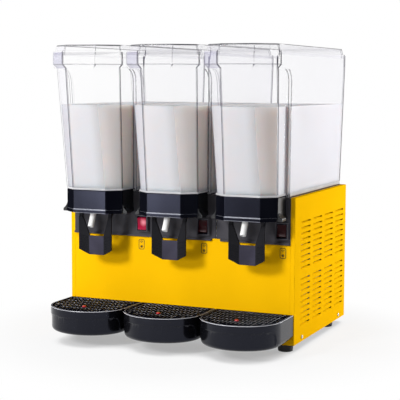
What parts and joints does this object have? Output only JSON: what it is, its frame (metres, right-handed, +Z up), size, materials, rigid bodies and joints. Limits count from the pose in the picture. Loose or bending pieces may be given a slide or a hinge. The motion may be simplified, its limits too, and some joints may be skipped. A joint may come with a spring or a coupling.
{
  "type": "cold drink dispenser",
  "caption": "Counter-top cold drink dispenser: clear faceted bowls with lids on a yellow louvred casing, push-lever taps over black drip trays, stirred and chilled by drums in the bowl floors.",
  "frame": {"origin": "on the floor under the centre of the whole machine's box", "axes": "+Z up, +X to the right seen from the front, the taps face -Y"},
  "size_m": [0.549, 0.5354, 0.6582],
  "materials": {
    "yellow_paint": "gloss powder coat",
    "zinc_steel": "zinc plated",
    "stainless": "brushed stainless",
    "screw_steel": "bright plated",
    "black_plastic": "moulded, semi-gloss",
    "clear_plastic": "clear polycarbonate",
    "red_plastic": "moulded, gloss",
    "grey_plastic": "moulded",
    "white_silicone": "translucent white",
    "black_rubber": "matt",
    "grey_rubber": "matt",
    "black_paint": "satin",
    "fin_aluminium": "mill finish",
    "copper": "bare copper",
    "magnet_steel": "coated"
  },
  "bodies": {
    "casing": {"base_pan": "zinc_steel", "side_panel_left": "yellow_paint", "side_panel_right": "yellow_paint", "front_panel": "yellow_paint", "rear_panel": "yellow_paint", "top_deck": "stainless", "fascia_double": "black_plastic", "fascia_single": "black_plastic", "switch_bodies": "black_plastic", "rubber_feet": "black_rubber", "panel_screws": "screw_steel", "lever_pins": "stainless", "bowl_gaskets": "grey_rubber", "mixing_motors": "zinc_steel", "compressor": "black_paint", "condenser": "fin_aluminium", "fan_bracket": "black_paint", "refrigerant_pipes": "copper", "thermostat": "grey_plastic", "power_inlet": "black_plastic", "bowl_seat_left": "black_plastic", "bowl_seat_middle": "black_plastic", "bowl_seat_right": "black_plastic", "lever_spring_left": "stainless", "lever_spring_middle": "stainless", "lever_spring_right": "stainless", "spout_left": "white_silicone", "spout_middle": "white_silicone", "spout_right": "white_silicone", "evaporator_left": "stainless", "evaporator_middle": "stainless", "evaporator_right": "stainless"},
    "bowl_left": {"bowl_left": "clear_plastic"},
    "bowl_middle": {"bowl_middle": "clear_plastic"},
    "bowl_right": {"bowl_right": "clear_plastic"},
    "lid_left": {"lid_left": "clear_plastic"},
    "lid_middle": {"lid_middle": "clear_plastic"},
    "lid_right": {"lid_right": "clear_plastic"},
    "lever_left": {"tap_lever_left": "black_plastic"},
    "lever_middle": {"tap_lever_middle": "black_plastic"},
    "lever_right": {"tap_lever_right": "black_plastic"},
    "rocker_left": {"rocker_left": "red_plastic"},
    "rocker_middle": {"rocker_middle": "red_plastic"},
    "rocker_right": {"rocker_right": "red_plastic"},
    "tray_left": {"drip_tray_left": "black_plastic"},
    "tray_middle": {"drip_tray_middle": "black_plastic"},
    "tray_right": {"drip_tray_right": "black_plastic"},
    "grid_left": {"drip_grid_left": "black_plastic"},
    "grid_middle": {"drip_grid_middle": "black_plastic"},
    "grid_right": {"drip_grid_right": "black_plastic"},
    "float_left": {"tray_float_left": "red_plastic"},
    "float_middle": {"tray_float_middle": "red_plastic"},
    "float_right": {"tray_float_right": "red_plastic"},
    "impeller_left": {"impeller_left": "grey_plastic"},
    "impeller_middle": {"impeller_middle": "grey_plastic"},
    "impeller_right": {"impeller_right": "grey_plastic"},
    "magnet_left": {"drive_magnet_left": "magnet_steel"},
    "magnet_middle": {"drive_magnet_middle": "magnet_steel"},
    "magnet_right": {"drive_magnet_right": "magnet_steel"},
    "fan": {"fan": "grey_plastic"}
  },
  "joints": [
    {"name": "bowl_left_lift", "type": "slide", "parent": "casing", "child": "bowl_left", "axis": [0, 0, 1], "range_m": [0, 0.16]},
    {"name": "lid_left_lift", "type": "slide", "parent": "bowl_left", "child": "lid_left", "axis": [0, 0, 1], "range_m": [0, 0.08]},
    {"name": "lever_left_push", "type": "hinge", "parent": "casing", "child": "lever_left", "pos_m": [-0.1815, -0.14575, 0.3038], "axis": [1, 0, 0], "range_deg": [0, 18], "stiffness_Nm_per_rad": 0.8, "springref_deg": -5.73, "deforming": ["lever_spring_left"]},
    {"name": "rocker_left_tip", "type": "hinge", "parent": "casing", "child": "rocker_left", "pos_m": [-0.08625, -0.11175, 0.2635], "axis": [1, 0, 0], "range_deg": [-18, 0]},
    {"name": "tray_left_unhook", "type": "slide", "parent": "casing", "child": "tray_left", "axis": [0, -0.7071, 0.7071], "range_m": [0, 0.08]},
    {"name": "grid_left_lift", "type": "slide", "parent": "tray_left", "child": "grid_left", "axis": [0, 0, 1], "range_m": [0, 0.05]},
    {"name": "float_left_rise", "type": "slide", "parent": "tray_left", "child": "float_left", "axis": [0, 0, 1], "range_m": [0, 0.012]},
    {"name": "magnet_left_spin", "type": "hinge", "parent": "casing", "child": "magnet_left", "pos_m": [-0.1815, 0.08025, 0.3943], "axis": [0, 0, 1], "continuous": true},
    {"name": "impeller_left_spin", "type": "hinge", "parent": "casing", "child": "impeller_left", "pos_m": [-0.1815, 0.08025, 0.4016], "axis": [0, 0, 1], "continuous": true},
    {"name": "bowl_middle_lift", "type": "slide", "parent": "casing", "child": "bowl_middle", "axis": [0, 0, 1], "range_m": [0, 0.16]},
    {"name": "lid_middle_lift", "type": "slide", "parent": "bowl_middle", "child": "lid_middle", "axis": [0, 0, 1], "range_m": [0, 0.08]},
    {"name": "lever_middle_push", "type": "hinge", "parent": "casing", "child": "lever_middle", "pos_m": [0, -0.14575, 0.3038], "axis": [1, 0, 0], "range_deg": [0, 18], "stiffness_Nm_per_rad": 0.8, "springref_deg": -5.73, "deforming": ["lever_spring_middle"]},
    {"name": "rocker_middle_tip", "type": "hinge", "parent": "casing", "child": "rocker_middle", "pos_m": [0.06275, -0.11175, 0.2635], "axis": [1, 0, 0], "range_deg": [0, 18]},
    {"name": "tray_middle_unhook", "type": "slide", "parent": "casing", "child": "tray_middle", "axis": [0, -0.7071, 0.7071], "range_m": [0, 0.08]},
    {"name": "grid_middle_lift", "type": "slide", "parent": "tray_middle", "child": "grid_middle", "axis": [0, 0, 1], "range_m": [0, 0.05]},
    {"name": "float_middle_rise", "type": "slide", "parent": "tray_middle", "child": "float_middle", "axis": [0, 0, 1], "range_m": [0, 0.012]},
    {"name": "magnet_middle_spin", "type": "hinge", "parent": "casing", "child": "magnet_middle", "pos_m": [0, 0.08025, 0.3943], "axis": [0, 0, 1], "continuous": true},
    {"name": "impeller_middle_spin", "type": "hinge", "parent": "casing", "child": "impeller_middle", "pos_m": [0, 0.08025, 0.4016], "axis": [0, 0, 1], "continuous": true},
    {"name": "bowl_right_lift", "type": "slide", "parent": "casing", "child": "bowl_right", "axis": [0, 0, 1], "range_m": [0, 0.16]},
    {"name": "lid_right_lift", "type": "slide", "parent": "bowl_right", "child": "lid_right", "axis": [0, 0, 1], "range_m": [0, 0.08]},
    {"name": "lever_right_push", "type": "hinge", "parent": "casing", "child": "lever_right", "pos_m": [0.1815, -0.14575, 0.3038], "axis": [1, 0, 0], "range_deg": [0, 18], "stiffness_Nm_per_rad": 0.8, "springref_deg": -5.73, "deforming": ["lever_spring_right"]},
    {"name": "rocker_right_tip", "type": "hinge", "parent": "casing", "child": "rocker_right", "pos_m": [0.24525, -0.11175, 0.2635], "axis": [1, 0, 0], "range_deg": [0, 18]},
    {"name": "tray_right_unhook", "type": "slide", "parent": "casing", "child": "tray_right", "axis": [0, -0.7071, 0.7071], "range_m": [0, 0.08]},
    {"name": "grid_right_lift", "type": "slide", "parent": "tray_right", "child": "grid_right", "axis": [0, 0, 1], "range_m": [0, 0.05]},
    {"name": "float_right_rise", "type": "slide", "parent": "tray_right", "child": "float_right", "axis": [0, 0, 1], "range_m": [0, 0.012]},
    {"name": "magnet_right_spin", "type": "hinge", "parent": "casing", "child": "magnet_right", "pos_m": [0.1815, 0.08025, 0.3943], "axis": [0, 0, 1], "continuous": true},
    {"name": "impeller_right_spin", "type": "hinge", "parent": "casing", "child": "impeller_right", "pos_m": [0.1815, 0.08025, 0.4016], "axis": [0, 0, 1], "continuous": true},
    {"name": "fan_spin", "type": "hinge", "parent": "casing", "child": "fan", "pos_m": [0.18905, 0.08025, 0.1122], "axis": [1, 0, 0], "continuous": true}
  ],
  "couplings": [
    {"joint": "impeller_left_spin", "follows": "magnet_left_spin", "ratio": 1},
    {"joint": "impeller_middle_spin", "follows": "magnet_middle_spin", "ratio": 1},
    {"joint": "impeller_right_spin", "follows": "magnet_right_spin", "ratio": 1}
  ]
}
